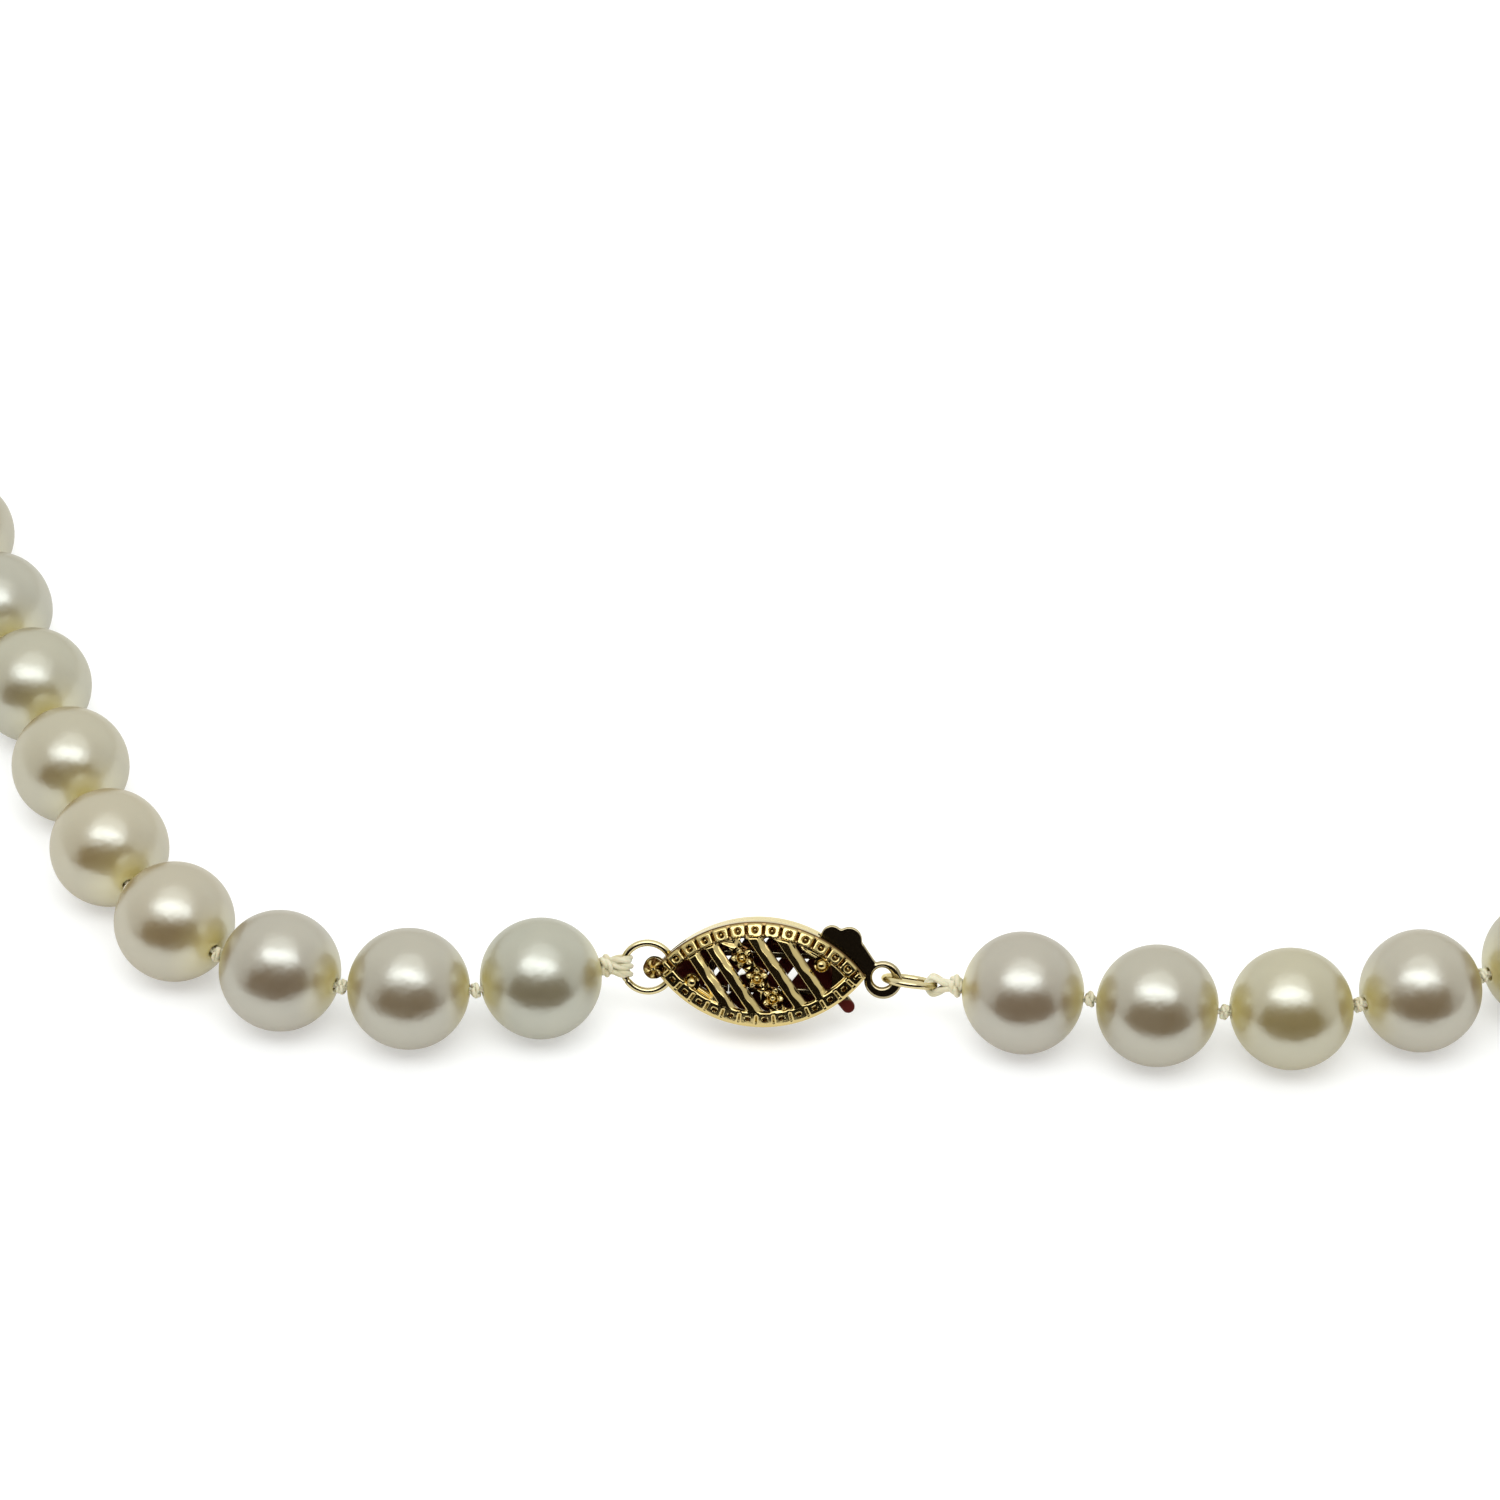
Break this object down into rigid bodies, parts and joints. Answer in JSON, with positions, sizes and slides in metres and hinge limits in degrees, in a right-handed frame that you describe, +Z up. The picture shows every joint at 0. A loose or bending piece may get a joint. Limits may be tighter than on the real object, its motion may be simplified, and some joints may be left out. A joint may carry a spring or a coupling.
{
  "type": "pearl necklace",
  "caption": "Single knotted strand of round cream pearls closed by a pierced marquise gold clasp with a sliding hook, laid in a loop.",
  "frame": {"origin": "centre of the bounding box's bottom face, on the surface the necklace lies on", "axes": "+Z up; +Y from the clasp towards the far side of the loop; +X to the right, towards the hook"},
  "size_m": [0.1438, 0.1536, 0.007],
  "materials": {
    "pearl": "cream nacre, satin lustre",
    "silk": "twisted silk",
    "gold": "polished yellow gold"
  },
  "bodies": {
    "clasp": {"front_shell": "gold", "back_shell": "gold", "upper_band": "gold", "lower_band": "gold", "ring_post": "gold", "cross_post": "gold"},
    "hook": {"hook": "gold"},
    "trigger": {"spring_leg": "gold"},
    "left_jump_ring": {"left_ring": "gold"},
    "right_jump_ring": {"right_ring": "gold"},
    "strand_left_1": {"thread_left_01": "silk", "pearl_01": "pearl", "pearl_02": "pearl"},
    "strand_left_2": {"thread_left_02": "silk", "pearl_03": "pearl", "pearl_04": "pearl", "pearl_05": "pearl"},
    "strand_left_3": {"thread_left_03": "silk", "pearl_06": "pearl", "pearl_07": "pearl", "pearl_08": "pearl", "pearl_09": "pearl", "pearl_10": "pearl", "pearl_11": "pearl", "pearl_12": "pearl"},
    "strand_right_1": {"thread_right_01": "silk", "pearl_58": "pearl"},
    "strand_right_2": {"thread_right_02": "silk", "pearl_57": "pearl", "pearl_56": "pearl"},
    "strand_right_3": {"thread_right_03": "silk", "pearl_55": "pearl", "pearl_54": "pearl"},
    "strand_right_4": {"thread_right_04": "silk", "pearl_53": "pearl", "pearl_52": "pearl"},
    "strand_right_5": {"thread_right_05": "silk", "pearl_51": "pearl", "pearls_45_to_50": "pearl"},
    "strand_right_6": {"thread_right_06": "silk", "pearls_39_to_44": "pearl"},
    "strand_right_7": {"thread_right_07": "silk", "pearls_32_to_38": "pearl"},
    "strand_right_8": {"thread_right_08": "silk", "pearls_26_to_31": "pearl"},
    "strand_right_9": {"thread_right_09": "silk", "pearls_19_to_25": "pearl"},
    "strand_right_10": {"thread_right_10": "silk", "pearls_13_to_18": "pearl"}
  },
  "joints": [
    {"name": "hook_slide", "type": "slide", "parent": "clasp", "child": "hook", "axis": [0.9983, -0.0576, 0], "range_m": [0, 0.0068]},
    {"name": "release_trigger", "type": "hinge", "parent": "hook", "child": "trigger", "pos_m": [-0.00932, -0.07092, 0.00269], "axis": [-0.0454, -0.7867, 0.6157], "range_deg": [0, 3], "stiffness_Nm_per_rad": 0.11},
    {"name": "left_ring_spin", "type": "hinge", "parent": "clasp", "child": "left_jump_ring", "pos_m": [-0.01389, -0.07002, 0.0035], "axis": [-0.0499, -0.8646, 0.5], "continuous": true},
    {"name": "right_ring_spin", "type": "hinge", "parent": "hook", "child": "right_jump_ring", "pos_m": [0.00096, -0.07101, 0.00333], "axis": [0.1396, 0.6053, 0.7837], "continuous": true},
    {"name": "left_strand_swing", "type": "hinge", "parent": "clasp", "child": "strand_left_1", "pos_m": [-0.01531, -0.06994, 0.0035], "axis": [0, 0, 1], "range_deg": [-3.5, 3.5]},
    {"name": "left_bend_2", "type": "hinge", "parent": "strand_left_1", "child": "strand_left_2", "pos_m": [-0.03121, -0.07157, 0.0035], "axis": [0, 0, 1], "range_deg": [-9.43, 9.43]},
    {"name": "left_bend_3", "type": "hinge", "parent": "strand_left_2", "child": "strand_left_3", "pos_m": [-0.0469, -0.05677, 0.0035], "axis": [0, 0, 1], "range_deg": [-7.72, 7.72]},
    {"name": "right_strand_swing", "type": "hinge", "parent": "hook", "child": "strand_right_1", "pos_m": [0.00237, -0.07118, 0.00322], "axis": [0, 0, 1], "range_deg": [-6, 6]},
    {"name": "right_bend_2", "type": "hinge", "parent": "strand_right_1", "child": "strand_right_2", "pos_m": [0.01112, -0.07259, 0.0035], "axis": [0, 0, 1], "range_deg": [-10.89, 10.89]},
    {"name": "right_bend_3", "type": "hinge", "parent": "strand_right_2", "child": "strand_right_3", "pos_m": [0.02624, -0.07306, 0.0035], "axis": [0, 0, 1], "range_deg": [-6.07, 6.07]},
    {"name": "right_bend_4", "type": "hinge", "parent": "strand_right_3", "child": "strand_right_4", "pos_m": [0.04061, -0.06812, 0.0035], "axis": [0, 0, 1], "range_deg": [-1.29, 1.29]},
    {"name": "drape_bend_1", "type": "hinge", "parent": "strand_right_4", "child": "strand_right_5", "pos_m": [0.05297, -0.05959, 0.0035], "axis": [0, 0, 1], "range_deg": [0, 2.67]},
    {"name": "drape_bend_2", "type": "hinge", "parent": "strand_right_5", "child": "strand_right_6", "pos_m": [0.06841, -0.00951, 0.0035], "axis": [0, 0, 1], "range_deg": [-1.16, 0]},
    {"name": "drape_bend_3", "type": "hinge", "parent": "strand_right_6", "child": "strand_right_7", "pos_m": [0.05911, 0.0347, 0.0035], "axis": [0, 0, 1], "range_deg": [-0.706, 0]},
    {"name": "drape_bend_4", "type": "hinge", "parent": "strand_right_7", "child": "strand_right_8", "pos_m": [0.02024, 0.06891, 0.0035], "axis": [0, 0, 1], "range_deg": [-0.611, 0]},
    {"name": "drape_bend_5", "type": "hinge", "parent": "strand_right_8", "child": "strand_right_9", "pos_m": [-0.02464, 0.07084, 0.0035], "axis": [0, 0, 1], "range_deg": [-0.932, 0]},
    {"name": "drape_bend_6", "type": "hinge", "parent": "strand_right_9", "child": "strand_right_10", "pos_m": [-0.06391, 0.03772, 0.0035], "axis": [0, 0, 1], "range_deg": [-2.47, 0]}
  ],
  "couplings": [
    {"joint": "left_bend_2", "follows": "left_strand_swing", "ratio": -2.6407},
    {"joint": "left_bend_3", "follows": "left_strand_swing", "ratio": 2.1622},
    {"joint": "right_bend_2", "follows": "right_strand_swing", "ratio": -1.78},
    {"joint": "right_bend_3", "follows": "right_strand_swing", "ratio": 0.99142},
    {"joint": "right_bend_4", "follows": "right_strand_swing", "ratio": -0.21143},
    {"joint": "drape_bend_1", "follows": "hook_slide", "rad_per_m": 6.7146},
    {"joint": "drape_bend_2", "follows": "hook_slide", "rad_per_m": -2.9235},
    {"joint": "drape_bend_3", "follows": "hook_slide", "rad_per_m": -1.7775},
    {"joint": "drape_bend_4", "follows": "hook_slide", "rad_per_m": -1.537},
    {"joint": "drape_bend_5", "follows": "hook_slide", "rad_per_m": -2.346},
    {"joint": "drape_bend_6", "follows": "hook_slide", "rad_per_m": -6.2208}
  ]
}
